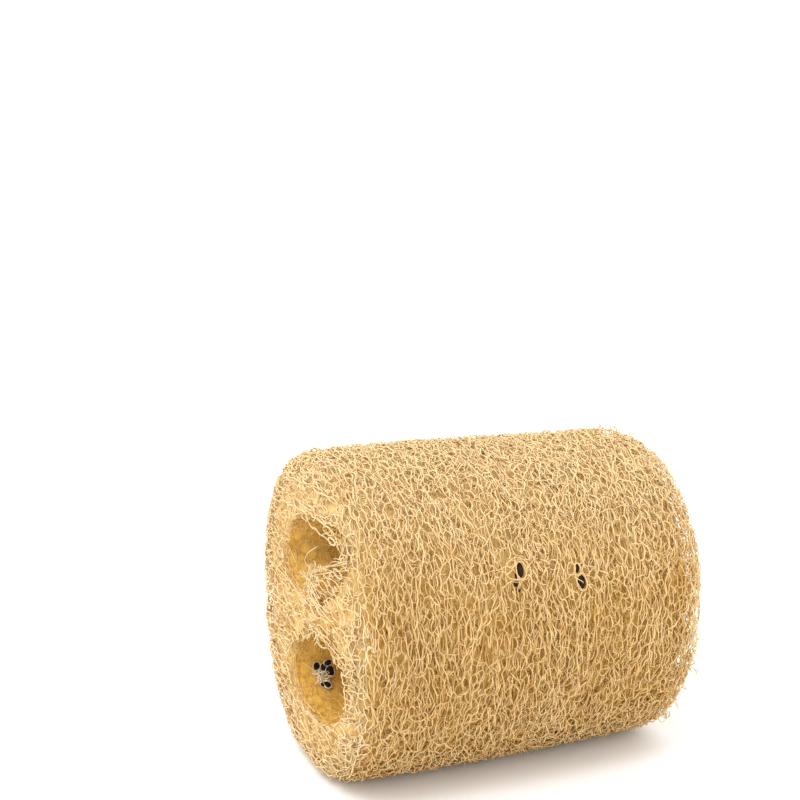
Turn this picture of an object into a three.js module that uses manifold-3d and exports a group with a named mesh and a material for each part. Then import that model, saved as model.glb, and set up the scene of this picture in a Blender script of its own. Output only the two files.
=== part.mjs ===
// A natural loofah sponge: a short length cut from a dried luffa gourd, lying on its side.
// One piece of grown fibre net, with two seed chambers that run through it from end to end.
// Millimetres, +X along the gourd, +Z up, origin under the middle of the sponge on the surface it lies on.
import * as THREE from "three";
import { ConvexHull } from "three/addons/math/ConvexHull.js";
import Module from "manifold-3d";

const wasm = await Module();
wasm.setup();
const { Manifold, Mesh } = wasm;

// Driving dimensions of the cut length.
const LENGTH = 100;
const WIDTH = 78;
const HEIGHT = 86;
const MEAN_RADIUS = (WIDTH + HEIGHT) / 4;
const LEFT_END_ROUND = 8;
const RIGHT_END_ROUND = 10;
const SECTION_SQUARENESS = 2.15; // exponent of the oval, 2 is a plain ellipse
const REST_FLAT_SAG = 1.6; // how far its own weight flattens the underside
const REST_FLAT_HALF_LENGTH = 36;

// The slow lumps of a grown thing: share of the radius, waves round the section, where the wave
// starts, and the length along the gourd over which it turns by one radian.
const SKIN_LUMPS = [
  { size: 0.012, waves: 2, start: 0.7, turnLength: 34 },
  { size: 0.009, waves: 3, start: 2, turnLength: -27 },
];
const END_TAPER = 0.012; // how much slimmer the ends are than the middle

// The fibre net on the outside: strands run mostly round the gourd, so its meshes are longer that way.
const SKIN_MESHES = 375;
const SKIN_STRETCH = 1.6;
const SKIN_DEPTH = 3.6;
const SKIN_STRAND_TOP = 0.13; // share of a mesh's half width that the strand's top takes
const SKIN_STRAND_FOOT = 0.3; // the same for its foot, down in the mesh
const STRAND_WEAVE = 1.0; // how far strands dip under one another

// The net that lines the chambers is flatter and coarser.
const LINING_MESHES = 48;
const LINING_STRETCH = 0.8;
const LINING_DEPTH = 1.6;
const LINING_STRAND_TOP = 0.1;
const LINING_STRAND_FOOT = 0.26;

const EVENNESS = 4; // tries for each mesh centre: more make the meshes more alike in size

// The chambers: middle and half sizes across the cut face, turn about X, and drift along the gourd.
const CHAMBERS = [
  { y: -6.5, z: 18.5, halfWidth: 18.5, halfHeight: 10, turn: -0.16, drift: 1.2, seed: 21 },
  { y: -11, z: -12, halfWidth: 17.8, halfHeight: 10.8, turn: -0.12, drift: -1, seed: 34 },
];
const CHAMBER_OVERRUN = 9; // how far the cutting shape passes each end face
const MOUTH_FLARE = 0.13;
const MOUTH_FLARE_REACH = 7;
const CHAMBER_LUMP = { size: 0.05, waves: 2, turnLength: 18 };
const CHAMBER_SWELL = { size: 0.04, turnLength: 14 };
const CHAMBER_DRIFT_LENGTH = 30;

// Small pockets where seeds sat in the net: place, half sizes and turn about X.
const SEED_POCKETS = [
  { at: [-4.6, -35.5, 19], half: [2.1, 5.5, 3.0], turn: -0.5 },
  { at: [12.0, -37.2, 15], half: [2.1, 5.5, 2.8], turn: -0.42 },
  { at: [-41, 7, -17], half: [4.2, 4.5, 4.2], turn: 0 },
];
// A narrow gap beside the wall between the chambers, open at the left end only.
const SIDE_GAP = { y: -27.5, z: 4, halfWidth: 2.6, halfHeight: 3.4, depth: 14 };

// How finely the lines from pole to pole are read, and the small balls that cut the pockets.
const END_STEPS = 10;
const CHAMBER_STEPS = 40;
const CHAMBER_CAP_STEPS = 4;
const BALL_SIDES = 10;
const BALL_RINGS = 7;

// A seeded random number source, so that every build grows the same net.
function randomSource(seed) {
  let state = seed >>> 0;
  return () => {
    state = (state + 0x6d2b79f5) >>> 0;
    let t = Math.imul(state ^ (state >>> 15), 1 | state);
    t = (t + Math.imul(t ^ (t >>> 7), 61 | t)) ^ t;
    return ((t ^ (t >>> 14)) >>> 0) / 4294967296;
  };
}

// A closed mesh as a solid that can be cut.
function solidFrom(positions, triangles) {
  return new Manifold(
    new Mesh({
      numProp: 3,
      vertProperties: new Float32Array(positions),
      triVerts: new Uint32Array(triangles),
    }),
  );
}

// A point of an oval section at angle a, for half sizes w and h.
function ovalPoint(a, w, h) {
  const power = 2 / SECTION_SQUARENESS;
  const c = Math.cos(a);
  const s = Math.sin(a);
  return [
    w * Math.sign(c) * Math.abs(c) ** power,
    h * Math.sign(s) * Math.abs(s) ** power,
  ];
}

// The outer form: x and the share k of the full section along a line from pole to pole.
function skinLine() {
  const end = (side, round) => {
    const half = [];
    for (let i = 1; i <= END_STEPS; i++) {
      half.push([(side * LENGTH) / 2, (i / END_STEPS) * (1 - round / MEAN_RADIUS)]);
    }
    for (let i = 1; i <= END_STEPS; i++) {
      const a = ((i / END_STEPS) * Math.PI) / 2;
      const x = LENGTH / 2 - round * (1 - Math.cos(a));
      half.push([side * x, 1 - (round * (1 - Math.sin(a))) / MEAN_RADIUS]);
    }
    return half;
  };
  return [...end(-1, LEFT_END_ROUND), ...end(1, RIGHT_END_ROUND).reverse()];
}

// The outer skin at angle a and x, lumpy and with a flattened underside.
function skinPoint(a, x, k) {
  let swell = 1 - END_TAPER * (x / (LENGTH / 2)) ** 2;
  for (const lump of SKIN_LUMPS) {
    swell += lump.size * Math.sin(lump.waves * a + lump.start + x / lump.turnLength);
  }
  const [y, z] = ovalPoint(a, (WIDTH / 2) * k * swell, (HEIGHT / 2) * k * swell);
  return new THREE.Vector3(x, y, Math.max(z, -HEIGHT / 2 + REST_FLAT_SAG));
}

// A chamber's shape is a long closed tube that passes both end faces.
function chamberLine() {
  const reach = LENGTH / 2 + CHAMBER_OVERRUN;
  const line = [];
  for (let i = 1; i < CHAMBER_CAP_STEPS; i++) line.push([-reach, i / CHAMBER_CAP_STEPS]);
  for (let i = 0; i <= CHAMBER_STEPS; i++) {
    line.push([-reach + (2 * reach * i) / CHAMBER_STEPS, 1]);
  }
  for (let i = CHAMBER_CAP_STEPS - 1; i > 0; i--) line.push([reach, i / CHAMBER_CAP_STEPS]);
  return line;
}

function chamberPoint(chamber, a, x, k) {
  const toMouth = Math.max(0, LENGTH / 2 - Math.abs(x));
  const flare = 1 + MOUTH_FLARE * Math.exp(-toMouth / MOUTH_FLARE_REACH);
  const swell =
    1 +
    CHAMBER_LUMP.size * Math.sin(CHAMBER_LUMP.waves * a + x / CHAMBER_LUMP.turnLength) +
    CHAMBER_SWELL.size * Math.sin(x / CHAMBER_SWELL.turnLength + chamber.seed);
  const [y, z] = ovalPoint(
    a,
    chamber.halfWidth * k * flare * swell,
    chamber.halfHeight * k * flare * swell,
  );
  const c = Math.cos(chamber.turn);
  const s = Math.sin(chamber.turn);
  const drift = chamber.drift * Math.sin(x / CHAMBER_DRIFT_LENGTH);
  return new THREE.Vector3(x, chamber.y + y * c - z * s + drift, chamber.z + y * s + z * c);
}

// A skin is read by angle and by place along its line. This table turns that place into a latitude
// on a sphere and back, keeping shapes, so that meshes found on the sphere fit the skin.
function latitudes(line, radius, stretch) {
  const latitude = [0];
  for (let i = 1; i < line.length; i++) {
    const [x0, k0] = line[i - 1];
    const [x1, k1] = line[i];
    const step = Math.hypot((x1 - x0) * stretch, (k1 - k0) * radius);
    latitude.push(latitude[i - 1] + step / (((k0 + k1) / 2) * radius));
  }
  const middle = latitude[latitude.length - 1] / 2;
  return latitude.map((q) => q - middle);
}

function along(line, latitude, q) {
  if (q <= latitude[0]) {
    return [line[0][0], line[0][1] * Math.exp(q - latitude[0])];
  }
  const last = line.length - 1;
  if (q >= latitude[last]) {
    return [line[last][0], line[last][1] * Math.exp(latitude[last] - q)];
  }
  let i = 1;
  while (latitude[i] < q) i++;
  const t = (q - latitude[i - 1]) / (latitude[i] - latitude[i - 1]);
  return [0, 1].map((n) => line[i - 1][n] + (line[i][n] - line[i - 1][n]) * t);
}

// One closed solid whose skin is a net. Mesh centres are spread evenly at random over the skin; where
// three meshes meet, a knot of the net stands up, and each mesh between the strands is a sunk pit.
// A negative depth makes the pits stand out instead, for a shape that is cut away from another.
function netSolid(net) {
  const { line, point, radius, stretch, meshes, depth, top, foot, weave, flat, seed } = net;
  const random = randomSource(seed);
  const latitude = latitudes(line, radius, stretch);
  const last = latitude.length - 1;

  const place = (direction) => {
    const a = Math.atan2(direction.z, direction.y);
    const polar = Math.acos(THREE.MathUtils.clamp(-direction.x, -1, 1));
    const q = Math.log(Math.tan(Math.max(polar, 1e-6) / 2));
    return point(a, ...along(line, latitude, q));
  };
  const toward = (a, q) => {
    const polar = 2 * Math.atan(Math.exp(q));
    const r = Math.sin(polar);
    return new THREE.Vector3(-Math.cos(polar), r * Math.cos(a), r * Math.sin(a));
  };
  const normal = (direction) => {
    const across = new THREE.Vector3(0, 1, 0);
    if (Math.abs(direction.y) > 0.9) across.set(0, 0, 1);
    const u = across.clone().cross(direction).normalize();
    const v = direction.clone().cross(u);
    const small = 0.02;
    const at = (w, sign) => place(direction.clone().addScaledVector(w, sign * small).normalize());
    return at(u, 1).sub(at(u, -1)).cross(at(v, 1).sub(at(v, -1))).normalize();
  };

  // Mesh centres: of several tries, each takes the one furthest from all before it.
  const area = [];
  let total = 0;
  for (let i = 1; i <= last; i++) {
    const [x0, k0] = line[i - 1];
    const [x1, k1] = line[i];
    total += Math.hypot((x1 - x0) * stretch, (k1 - k0) * radius) * (k0 + k1);
    area.push(total);
  }
  const centres = [];
  const spots = [];
  for (let n = 0; n < meshes; n++) {
    let best = null;
    for (let t = 0; t < EVENNESS; t++) {
      const want = random() * total;
      const i = area.findIndex((sum) => sum >= want) + 1;
      const q = latitude[i - 1] + (latitude[i] - latitude[i - 1]) * random();
      const direction = toward(random() * 2 * Math.PI, q);
      const spot = place(direction);
      spot.x *= stretch;
      let gap = Infinity;
      for (const other of spots) gap = Math.min(gap, other.distanceToSquared(spot));
      if (!best || gap > best.gap) best = { gap, direction, spot };
    }
    centres.push(best.direction);
    spots.push(best.spot);
  }

  // The hull of directions on a sphere gives the triangles between neighbouring meshes.
  const number = new Map(centres.map((direction, i) => [direction, i]));
  const hull = new ConvexHull().setFromPoints(centres);
  const positions = [];
  const triangles = [];
  const rings = centres.map(() => []);
  const add = (v) => positions.push(v.x, v.y, v.z) / 3 - 1;
  const rests = (p) => flat !== null && Math.abs(p.x) < flat.halfLength && p.z < flat.z + 1e-6;
  const pressed = centres.map((direction) => rests(place(direction)));
  const bands = new Map();
  // A corner of mesh c, a share of the way from its knot to its centre, lowered by some depth.
  const sunk = (c, direction, share, by) => {
    const inward = direction.clone().lerp(centres[c], share).normalize();
    const p = place(inward);
    if (!pressed[c]) p.addScaledVector(normal(inward), -by);
    return add(p);
  };

  for (const face of hull.faces) {
    let edge = face.edge;
    const corners = [];
    do {
      corners.push(number.get(edge.head().point));
      edge = edge.next;
    } while (edge !== face.edge);
    const direction = new THREE.Vector3();
    for (const c of corners) direction.add(centres[c]);
    direction.normalize();
    const dip = random() * weave;
    const knot = corners.map((c) => sunk(c, direction, top, dip));
    triangles.push(...knot);
    corners.forEach((c, i) => {
      const next = (i + 1) % corners.length;
      rings[c].push({ direction, crest: knot[i] });
      const side = [c, corners[next]].sort((p, q) => p - q).join();
      const ends = [knot[i], knot[next]];
      if (bands.has(side)) {
        const [p, q] = bands.get(side);
        triangles.push(ends[1], ends[0], q, ends[1], q, p);
      }
      bands.set(side, ends);
    });
  }

  rings.forEach((ring, i) => {
    const centre = centres[i];
    const u = new THREE.Vector3(0.3, 0.5, 0.8).cross(centre).normalize();
    const v = centre.clone().cross(u);
    for (const k of ring) k.angle = Math.atan2(k.direction.dot(v), k.direction.dot(u));
    ring.sort((p, q) => p.angle - q.angle);
    const inner = ring.map(({ direction }) => sunk(i, direction, foot, depth));
    const n = ring.length;
    for (let k = 0; k < n; k++) {
      const m = (k + 1) % n;
      triangles.push(ring[k].crest, ring[m].crest, inner[m]);
      triangles.push(ring[k].crest, inner[m], inner[k]);
      if (k > 1) triangles.push(inner[0], inner[k - 1], inner[k]);
    }
  });

  return solidFrom(positions, triangles);
}

// A three.js geometry as a solid for cutting.
function solidOf(geometry) {
  const corners = geometry.index.array;
  const place = geometry.getAttribute("position");
  const seen = new Map();
  const positions = [];
  const triangles = [];
  for (const c of corners) {
    const p = [place.getX(c), place.getY(c), place.getZ(c)];
    const key = p.map((v) => Math.round(v * 1e4)).join();
    if (!seen.has(key)) seen.set(key, positions.push(...p) / 3 - 1);
    triangles.push(seen.get(key));
  }
  const kept = [];
  for (let i = 0; i < triangles.length; i += 3) {
    const [a, b, c] = triangles.slice(i, i + 3);
    if (a !== b && b !== c && c !== a) kept.push(a, b, c);
  }
  return solidFrom(positions, kept);
}

function spongeBody() {
  return netSolid({
    line: skinLine(),
    point: skinPoint,
    radius: MEAN_RADIUS,
    stretch: SKIN_STRETCH,
    meshes: SKIN_MESHES,
    depth: SKIN_DEPTH,
    top: SKIN_STRAND_TOP,
    foot: SKIN_STRAND_FOOT,
    weave: STRAND_WEAVE,
    flat: { z: -HEIGHT / 2 + REST_FLAT_SAG, halfLength: REST_FLAT_HALF_LENGTH },
    seed: 7,
  });
}

function chamberSolid(chamber) {
  return netSolid({
    line: chamberLine(),
    point: (a, x, k) => chamberPoint(chamber, a, x, k),
    radius: (chamber.halfWidth + chamber.halfHeight) / 2,
    stretch: LINING_STRETCH,
    meshes: LINING_MESHES,
    depth: -LINING_DEPTH,
    top: LINING_STRAND_TOP,
    foot: LINING_STRAND_FOOT,
    weave: 0,
    flat: null,
    seed: chamber.seed,
  });
}

function pocketSolid(pocket) {
  const shape = new THREE.SphereGeometry(1, BALL_SIDES, BALL_RINGS);
  shape.scale(...pocket.half);
  shape.rotateX(pocket.turn);
  shape.translate(...pocket.at);
  return solidOf(shape);
}

function sideGapSolid() {
  const shape = new THREE.SphereGeometry(1, BALL_SIDES, BALL_RINGS);
  shape.scale(SIDE_GAP.depth, SIDE_GAP.halfWidth, SIDE_GAP.halfHeight);
  shape.translate(-LENGTH / 2, SIDE_GAP.y, SIDE_GAP.z);
  return solidOf(shape);
}

let body = spongeBody();
for (const chamber of CHAMBERS) body = body.subtract(chamberSolid(chamber));
for (const pocket of SEED_POCKETS) body = body.subtract(pocketSolid(pocket));
body = body.subtract(sideGapSolid());

const cut = body.getMesh();
const geometry = new THREE.BufferGeometry();
geometry.setAttribute("position", new THREE.BufferAttribute(cut.vertProperties, 3));
geometry.setIndex(new THREE.BufferAttribute(cut.triVerts, 1));
geometry.computeBoundingBox();
const box = geometry.boundingBox;
geometry.translate(-(box.min.x + box.max.x) / 2, -(box.min.y + box.max.y) / 2, -box.min.z);
geometry.computeVertexNormals();

const fibre = new THREE.MeshStandardMaterial({ color: 0xdcc08c, roughness: 0.9, metalness: 0 });
const sponge = new THREE.Mesh(geometry, fibre);
sponge.name = "sponge";

const loofah = new THREE.Group();
loofah.name = "loofah_sponge";
loofah.add(sponge);

export default loofah;
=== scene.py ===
import math

import bpy
import numpy as np
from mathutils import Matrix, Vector
from mathutils.geometry import delaunay_2d_cdt


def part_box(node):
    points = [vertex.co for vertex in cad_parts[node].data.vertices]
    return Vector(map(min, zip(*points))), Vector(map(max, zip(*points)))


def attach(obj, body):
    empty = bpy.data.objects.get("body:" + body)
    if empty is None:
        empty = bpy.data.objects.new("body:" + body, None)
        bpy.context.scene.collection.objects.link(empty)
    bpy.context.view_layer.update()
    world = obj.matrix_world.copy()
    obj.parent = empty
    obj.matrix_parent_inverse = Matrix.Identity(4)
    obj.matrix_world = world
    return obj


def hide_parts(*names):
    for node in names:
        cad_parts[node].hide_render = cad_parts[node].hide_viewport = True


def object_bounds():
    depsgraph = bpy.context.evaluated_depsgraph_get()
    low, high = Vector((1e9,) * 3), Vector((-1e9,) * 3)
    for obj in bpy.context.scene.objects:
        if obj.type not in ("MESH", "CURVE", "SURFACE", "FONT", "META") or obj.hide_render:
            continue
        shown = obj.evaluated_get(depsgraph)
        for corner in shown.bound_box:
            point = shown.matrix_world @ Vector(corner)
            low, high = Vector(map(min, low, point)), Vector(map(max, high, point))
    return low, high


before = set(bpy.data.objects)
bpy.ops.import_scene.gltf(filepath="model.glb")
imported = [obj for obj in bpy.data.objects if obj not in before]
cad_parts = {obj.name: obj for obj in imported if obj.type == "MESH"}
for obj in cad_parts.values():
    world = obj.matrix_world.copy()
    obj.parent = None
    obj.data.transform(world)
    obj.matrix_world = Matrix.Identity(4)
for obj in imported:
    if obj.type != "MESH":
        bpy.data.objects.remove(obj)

cad_low, cad_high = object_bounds()
bpy.ops.object.select_all(action="DESELECT")

MM = 0.001

# The camera stands where the photograph was taken from: off the near cut end, a little above the
# sponge, with a long lens.
CAMERA_PLACE = Vector((-161.3, -341.7, 172.4)) * MM
CAMERA_LOOKS = Vector((0.36985, 0.90733, -0.19990))
CAMERA_LENS = 65.1

bpy.ops.object.camera_add(
    location=CAMERA_PLACE,
    rotation=CAMERA_LOOKS.to_track_quat("-Z", "Y").to_euler(),
)
camera = bpy.context.active_object
camera.name = "camera"
camera.data.lens = CAMERA_LENS
camera.data.sensor_width = 36
camera.data.clip_start = 0.01
camera.data.clip_end = 20
bpy.context.scene.camera = camera

# The table it lies on is a plain white sweep, wide enough to fill every view.
FLOOR_SIZE = 6.0
FLOOR_WHITE = (0.96, 0.96, 0.96, 1)


def matt_finish(name, roughness, specular):
    """A new material, its node tree and its shader."""
    finish = bpy.data.materials.new(name)
    finish.use_nodes = True
    shader = finish.node_tree.nodes["Principled BSDF"]
    shader.inputs["Roughness"].default_value = roughness
    shader.inputs["Specular IOR Level"].default_value = specular
    return finish, finish.node_tree, shader


bpy.ops.mesh.primitive_plane_add(size=FLOOR_SIZE, location=(0, 0, 0))
floor = bpy.context.active_object
floor.name = "floor"
floor_paint, _, floor_shader = matt_finish("white table", roughness=0.9, specular=0.1)
floor_shader.inputs["Base Color"].default_value = FLOOR_WHITE
floor.data.materials.append(floor_paint)

# Soft studio light: a white room that fills the shadows, one large box above and to the left, and a
# weaker one from the right.
ROOM_LIGHT = 1.45
KEY_POWER = 3.5
FILL_POWER = 0.5
LIGHTS_AIM_AT = Vector((0, 0, 0.04))


def soft_box(name, place, size, power):
    bpy.ops.object.light_add(type="AREA", location=place)
    light = bpy.context.active_object
    light.name = name
    light.data.shape = "DISK"
    light.data.size = size
    light.data.energy = power
    aim = LIGHTS_AIM_AT - Vector(place)
    light.rotation_euler = aim.to_track_quat("-Z", "Y").to_euler()


soft_box("key light", (-0.4, -0.18, 0.85), 0.5, KEY_POWER)
soft_box("fill light", (0.7, -0.6, 0.35), 0.6, FILL_POWER)

room = bpy.data.worlds.new("white room")
room.use_nodes = True
room.node_tree.nodes["Background"].inputs["Color"].default_value = (1, 1, 1, 1)
room.node_tree.nodes["Background"].inputs["Strength"].default_value = ROOM_LIGHT
bpy.context.scene.world = room
bpy.context.scene.view_settings.view_transform = "Standard"

# The gourd's outer form: a short cut length of a lumpy oval gourd, lying on its side, its underside
# pressed flat by its own weight. Every net of the sponge follows this form at some depth.
SQUARENESS = 2.15
END_TAPER = 0.012
LUMPS = [(0.012, 2, 0.7, 34 * MM), (0.009, 3, 2.0, -27 * MM)]
NEAR_END_ROUND = 8 * MM
FAR_END_ROUND = 8 * MM
PRESSED = 1.6 * MM
END_STEPS = 10

low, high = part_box("sponge")
half_length = (high.x - low.x) / 2


def oval(angle, half_wide, half_high):
    power = 2 / SQUARENESS
    c, s = np.cos(angle), np.sin(angle)
    y = half_wide * np.sign(c) * np.abs(c) ** power
    z = half_high * np.sign(s) * np.abs(s) ** power
    return y, z


def lumpy(angle, x, share):
    swell = 1 - END_TAPER * (x / half_length) ** 2
    for size, waves, start, turn_length in LUMPS:
        swell = swell + size * np.sin(waves * angle + start + x / turn_length)
    return oval(angle, share * swell, share * swell)


trial_angle, trial_x = np.meshgrid(np.linspace(0, 2 * np.pi, 181), np.linspace(-1, 1, 61) * half_length)
trial_y, trial_z = lumpy(trial_angle, trial_x, 1.0)
half_width = (high.y - low.y) / (trial_y.max() - trial_y.min())
half_height = (high.z - low.z + PRESSED) / (trial_z.max() + 1)
middle_y = -half_width * (trial_y.max() + trial_y.min()) / 2
middle_z = half_height - PRESSED
mean_radius = (half_width + half_height) / 2


def gourd_point(angle, x, share):
    y, z = lumpy(angle, x, share)
    z = np.maximum(z * half_height + middle_z, 0)
    return np.stack([x + 0 * y, y * half_width + middle_y, z], axis=-1)


def gourd_line():
    """Places from the near end's middle to the far end's: x, and the share of the full section."""
    line = []
    for side, round_off in ((-1, NEAR_END_ROUND), (1, FAR_END_ROUND)):
        half = []
        for i in range(1, END_STEPS + 1):
            half.append((side * half_length, i / END_STEPS * (1 - round_off / mean_radius)))
        for i in range(1, END_STEPS + 1):
            turn = i / END_STEPS * math.pi / 2
            x = half_length - round_off * (1 - math.cos(turn))
            half.append((side * x, 1 - round_off * (1 - math.sin(turn)) / mean_radius))
        line += half if side < 0 else half[::-1]
    return np.array(line)


# The two seed chambers run from end to end. Their places and sizes are the ones of the solid part.
CHAMBERS = [
    dict(y=-6.5, z=18.5, wide=18.5, high=10, turn=-0.16, drift=1.2, lean=1.2, seed=21),
    dict(y=-11, z=-12, wide=17.8, high=10.8, turn=-0.12, drift=-1, lean=-1, seed=34),
]
MOUTH_FLARE = 0.13
MOUTH_WIDENS = 0.31
MOUTH_FLARE_REACH = 7 * MM
CHAMBER_OVERRUN = 9 * MM
CHAMBER_TWIST, TWIST_LENGTH = 0.05, 18 * MM
CHAMBER_SWELL, SWELL_LENGTH = 0.04, 14 * MM
DRIFT_LENGTH = 30 * MM


def chamber_sizes(chamber, angle, x):
    near_mouth = np.exp(-np.maximum(0, half_length - np.abs(x)) / MOUTH_FLARE_REACH)
    swell = 1 + CHAMBER_TWIST * np.sin(2 * angle + x / TWIST_LENGTH)
    swell = swell + CHAMBER_SWELL * np.sin(x / SWELL_LENGTH + chamber["seed"])
    wide = chamber["wide"] * MM * (1 + MOUTH_WIDENS * near_mouth)
    return wide * swell, chamber["high"] * MM * (1 + MOUTH_FLARE * near_mouth) * swell


def chamber_middle(chamber, x):
    y = chamber["y"] * MM + chamber["drift"] * MM * np.sin(x / DRIFT_LENGTH)
    y = y + chamber["lean"] * MM * np.exp(-np.maximum(0, half_length + x) / MOUTH_FLARE_REACH)
    return y + middle_y, chamber["z"] * MM + middle_z + 0 * x


def chamber_point(chamber, angle, x, share):
    wide, tall = chamber_sizes(chamber, angle, x)
    y, z = oval(angle, wide * share, tall * share)
    c, s = math.cos(chamber["turn"]), math.sin(chamber["turn"])
    middle = chamber_middle(chamber, x)
    return np.stack([x + 0 * y, middle[0] + y * c - z * s, middle[1] + y * s + z * c], axis=-1)


def chamber_spot(chamber, angle, x, share):
    """One place in a chamber, at one angle and one x."""
    return chamber_point(chamber, np.array([angle]), np.array([x]), share)[0]


def chamber_share(chamber, points):
    """How far points are across a chamber: 0 at its middle, 1 on its wall."""
    x = points[:, 0]
    middle = chamber_middle(chamber, x)
    c, s = math.cos(chamber["turn"]), math.sin(chamber["turn"])
    dy, dz = points[:, 1] - middle[0], points[:, 2] - middle[1]
    y, z = dy * c + dz * s, -dy * s + dz * c
    angle = np.arctan2(z / chamber["high"], y / chamber["wide"])
    wide, tall = chamber_sizes(chamber, angle, x)
    return (np.abs(y / wide) ** SQUARENESS + np.abs(z / tall) ** SQUARENESS) ** (1 / SQUARENESS)


# How a net grows on a form. The form is read as a ball, keeping small shapes, and the middles of the
# meshes are spread over it at random. Knots of the net stand where three meshes meet.
def unit(vector):
    return vector / np.linalg.norm(vector)


def unit_rows(rows, least=0.0):
    return rows / (np.linalg.norm(rows, axis=1, keepdims=True) + least)


class Form:
    """A form whose surface is a ball's, pulled out into a gourd or a tube along its line of places."""

    def __init__(self, line, radius, stretch, point):
        self.line, self.radius, self.stretch, self.point = line, radius, stretch, point
        dx = np.diff(line[:, 0]) * stretch
        dk = np.diff(line[:, 1]) * radius
        share = (line[1:, 1] + line[:-1, 1]) / 2
        self.step = np.hypot(dx, dk)
        self.share = share
        latitude = np.concatenate([[0], np.cumsum(self.step / (share * radius))])
        self.latitude = latitude - latitude[-1] / 2

    def along(self, latitude):
        x = np.interp(latitude, self.latitude, self.line[:, 0])
        k = np.interp(latitude, self.latitude, self.line[:, 1])
        past = np.maximum(np.abs(latitude) - self.latitude[-1], 0)
        return x, k * np.exp(-past)

    def skin(self, direction):
        angle = np.arctan2(direction[:, 2], direction[:, 1])
        polar = np.arccos(np.clip(-direction[:, 0], -1, 1))
        latitude = np.log(np.tan(np.maximum(polar, 1e-9) / 2))
        return self.point(angle, *self.along(latitude))

    def place(self, direction, depth):
        across = np.where(np.abs(direction[:, 1:2]) > 0.9, (0.0, 0.0, 1.0), (0.0, 1.0, 0.0))
        u = unit_rows(np.cross(across, direction))
        v = np.cross(direction, u)
        small = 0.012

        def beside(w):
            return self.skin(unit_rows(direction + small * w))

        normal = unit_rows(np.cross(beside(u) - beside(-u), beside(v) - beside(-v)), 1e-12)
        return self.skin(direction) - normal * np.reshape(depth, (-1, 1)), normal


def toward(angle, latitude):
    polar = 2 * np.arctan(np.exp(latitude))
    r = np.sin(polar)
    return np.stack([-np.cos(polar), r * np.cos(angle), r * np.sin(angle)], axis=-1)


def sides_of(faces):
    return np.sort(np.concatenate([faces[:, [0, 1]], faces[:, [1, 2]], faces[:, [2, 0]]]), axis=1)


def threads_between(faces):
    """One thread between every two knots whose triangles of mesh middles share a side."""
    sides = sides_of(faces)
    owner = np.tile(np.arange(len(faces)), 3)
    order = np.lexsort((sides[:, 1], sides[:, 0]))
    sides, owner = sides[order], owner[order]
    same = (sides[1:] == sides[:-1]).all(1)
    return np.stack([owner[:-1][same], owner[1:][same]], axis=-1)


def lengths(points, threads):
    return np.linalg.norm(points[threads[:, 0]] - points[threads[:, 1]], axis=1)


def grow_net(form, meshes, tries, crowd, rng):
    """Knots as directions on the ball, and the threads between them as pairs of knots."""
    middle = (form.latitude[1:] + form.latitude[:-1]) / 2
    x, _ = form.along(middle)
    weight = form.step * form.share * crowd(x, form.share)
    total = np.cumsum(weight)
    total /= total[-1]
    pick = np.searchsorted(total, rng.random(meshes * tries))
    latitude = form.latitude[pick] + (form.latitude[pick + 1] - form.latitude[pick]) * rng.random(len(pick))
    angle = rng.random(len(pick)) * 2 * np.pi
    direction = toward(angle, latitude)
    spot = form.skin(direction)
    spot[:, 0] *= form.stretch
    ease = np.sqrt(crowd(spot[:, 0] / form.stretch, form.along(latitude)[1]))
    kept = np.zeros((meshes, 3))
    chosen = np.zeros(meshes, int)
    for n in range(meshes):
        mine = slice(n * tries, (n + 1) * tries)
        best = 0
        if n:
            gap = ((spot[mine, None] - kept[None, :n]) ** 2).sum(-1).min(1) * ease[mine] ** 2
            best = int(gap.argmax())
        chosen[n] = n * tries + best
        kept[n] = spot[chosen[n]]
    angle, latitude, direction = angle[chosen], latitude[chosen], direction[chosen]

    flat = np.exp(latitude)[:, None] * np.stack([np.cos(angle), np.sin(angle)], axis=-1)
    faces = np.array(delaunay_2d_cdt([tuple(p) for p in flat], [], [], 0, 1e-9)[2])
    edge, count = np.unique(sides_of(faces), axis=0, return_counts=True)
    rim = edge[count == 1]
    faces = np.concatenate([faces, np.column_stack([rim, np.full(len(rim), meshes)])])
    direction = np.concatenate([direction, [[1.0, 0, 0]]])
    return unit_rows(direction[faces].sum(1)), threads_between(faces)


# How fibres run through a net: at every knot the two threads that are most in line are one fibre,
# and the third one bends into them, so that the meshes become long lenses.
LEAST_IN_LINE = -0.1
LONGEST_CHAIN = 60


def trace_fibres(points, threads):
    """Chains of knots, one for each fibre, and the knots that their two ends bend towards."""
    meets = [[] for _ in range(len(points))]
    for number, (a, b) in enumerate(threads):
        meets[a].append((number, b))
        meets[b].append((number, a))
    goes_on = {}
    side_branch = {}
    for knot, found in enumerate(meets):
        if len(found) < 2:
            continue
        out = unit_rows(points[[other for _, other in found]] - points[knot], 1e-12)
        best, pair = 1.0, None
        for i in range(len(found)):
            for j in range(i):
                line_up = float(out[i] @ out[j])
                if line_up < best:
                    best, pair = line_up, (i, j)
        if best > LEAST_IN_LINE:
            continue
        i, j = pair
        goes_on[(knot, found[i][0])] = found[j]
        goes_on[(knot, found[j][0])] = found[i]
        for k, (number, _) in enumerate(found):
            if k not in pair:
                joins = i if float(out[k] @ out[i]) < float(out[k] @ out[j]) else j
                side_branch[(knot, number)] = found[joins][1]
    used = np.zeros(len(threads), bool)
    fibres = []
    for number, (a, b) in enumerate(threads):
        if used[number]:
            continue
        used[number] = True
        chain = [a, b]
        ends = []
        for flip in (False, True):
            if flip:
                chain.reverse()
            last = number
            while (chain[-1], last) in goes_on and len(chain) < LONGEST_CHAIN:
                following, other = goes_on[(chain[-1], last)]
                if used[following]:
                    break
                used[following] = True
                chain.append(other)
                last = following
            ends.append(side_branch.get((chain[-1], last)))
        fibres.append((chain[::-1], ends))
    return fibres


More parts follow.
